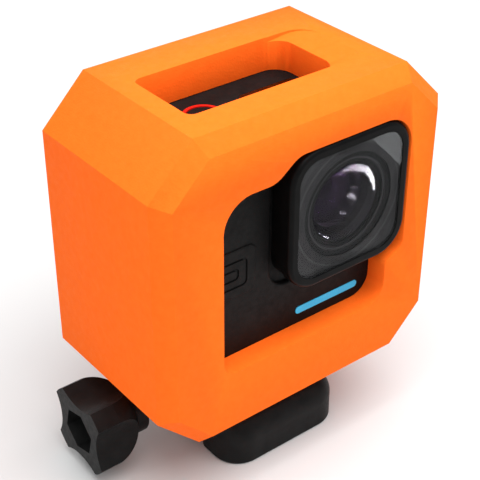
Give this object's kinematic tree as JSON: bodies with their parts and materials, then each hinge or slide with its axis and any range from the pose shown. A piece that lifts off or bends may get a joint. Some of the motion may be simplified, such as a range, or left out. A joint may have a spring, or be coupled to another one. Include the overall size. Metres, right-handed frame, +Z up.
{
  "type": "action camera",
  "caption": "Small cube action camera held in a foam float, with folding mounting fingers, a long thumb screw and a quick-release buckle underneath.",
  "frame": {"origin": "middle of the buckle's flat underside, straight below the clamp screw's axis", "axes": "+Z up, away from the surface that the buckle stands on; the lens looks along -Y; +X is to the right of someone who faces the lens; the clamp screw runs along X"},
  "size_m": [0.0725, 0.0452, 0.082],
  "materials": {
    "foam_orange": "closed-cell foam, matte, fine skin texture",
    "body_black": "rubberised matte black",
    "panel_black": "fine-grained black rubber skin",
    "accent_blue": "satin light blue inlay",
    "seal_rubber": "soft black silicone",
    "sink_metal": "black anodised cast aluminium",
    "gloss_black": "satin black",
    "cover_glass": "clear, anti-reflection coated",
    "mask_grey": "dark printed border behind glass",
    "lens_glass": "purple anti-reflection coating",
    "board_green": "solder mask green",
    "sensor_dark": "dark silicon under glass",
    "chip_black": "moulded epoxy black",
    "copper": "rolled copper, satin",
    "battery_wrap": "grey shrink film",
    "steel": "plain stainless steel",
    "ring_red": "glossy red",
    "display_glass": "smoked display window",
    "light_lens": "small red light lens",
    "mesh_metal": "blackened woven mesh",
    "finger_plastic": "glass-filled nylon, fine spark texture",
    "clamp_plastic": "glass-filled nylon, satin black"
  },
  "bodies": {
    "mount": {"buckle_body": "clamp_plastic", "lock_nut": "steel"},
    "knob": {"thumb_knob": "clamp_plastic", "clamp_screw": "steel"},
    "shutter": {"shutter_button": "panel_black"},
    "mode": {"mode_button": "panel_black"},
    "rear_left": {"rear_finger_left": "finger_plastic"},
    "rear_right": {"rear_finger_right": "finger_plastic"},
    "arm_left": {"squeeze_arm_left": "clamp_plastic"},
    "arm_right": {"squeeze_arm_right": "clamp_plastic"},
    "camera": {"float_foam": "foam_orange", "front_shell": "body_black", "front_panel": "panel_black", "speaker_cover": "panel_black", "accent_strip": "accent_blue", "body_gasket": "seal_rubber", "rear_shell": "body_black", "heat_sink": "sink_metal", "side_door": "body_black", "door_seal": "seal_rubber", "door_latch": "panel_black", "lens_turret": "gloss_black", "lens_cover_seal": "seal_rubber", "lens_cover_frame": "gloss_black", "lens_cover_glass": "cover_glass", "lens_cover_mask": "mask_grey", "lens_barrel": "gloss_black", "finger_bay": "body_black", "body_screws": "steel", "lens_front_element": "lens_glass", "lens_middle_element": "lens_glass", "lens_rear_element": "lens_glass", "sensor_board": "board_green", "image_sensor": "sensor_dark", "main_board": "board_green", "board_chips": "chip_black", "heat_spreader": "copper", "battery": "battery_wrap", "speaker": "chip_black", "usb_socket": "steel", "card_slot": "steel", "memory_card": "chip_black", "shutter_ring": "ring_red", "shutter_switch": "chip_black", "shutter_spring": "steel", "mode_switch": "chip_black", "status_window": "display_glass", "status_module": "sensor_dark", "status_light": "light_lens", "microphone_cap": "mesh_metal", "bottom_finger_left": "finger_plastic", "bottom_finger_right": "finger_plastic", "bottom_finger_pins": "steel", "rear_finger_pins": "steel"}
  },
  "joints": [
    {"name": "camera_tilt", "type": "hinge", "parent": "mount", "child": "camera", "pos_m": [0, 0, 0.0103], "axis": [1, 0, 0], "range_deg": [-45, 12]},
    {"name": "knob_turn", "type": "hinge", "parent": "mount", "child": "knob", "pos_m": [-0.03, 0, 0.0103], "axis": [1, 0, 0], "continuous": true},
    {"name": "shutter_press", "type": "slide", "parent": "camera", "child": "shutter", "axis": [0, 0, -1], "range_m": [0, 0.0006], "stiffness_N_per_m": 2500, "springref_m": -0.0003, "deforming": ["shutter_spring"]},
    {"name": "mode_press", "type": "slide", "parent": "camera", "child": "mode", "axis": [0, 0, -1], "range_m": [0, 0.0004], "stiffness_N_per_m": 2500, "springref_m": -0.0003},
    {"name": "rear_finger_left_swing", "type": "hinge", "parent": "camera", "child": "rear_left", "pos_m": [-0.003, 0.01075, 0.0494], "axis": [0, 0, -1], "range_deg": [0, 90]},
    {"name": "rear_finger_right_swing", "type": "hinge", "parent": "camera", "child": "rear_right", "pos_m": [0.003, 0.01075, 0.0494], "axis": [0, 0, 1], "range_deg": [0, 90]},
    {"name": "squeeze_left", "type": "hinge", "parent": "mount", "child": "arm_left", "pos_m": [-0.0127, -0.004, 0.0019], "axis": [0, 0, -1], "range_deg": [0, 4], "stiffness_Nm_per_rad": 0.6},
    {"name": "squeeze_right", "type": "hinge", "parent": "mount", "child": "arm_right", "pos_m": [0.0127, -0.004, 0.0019], "axis": [0, 0, 1], "range_deg": [0, 4], "stiffness_Nm_per_rad": 0.6}
  ]
}
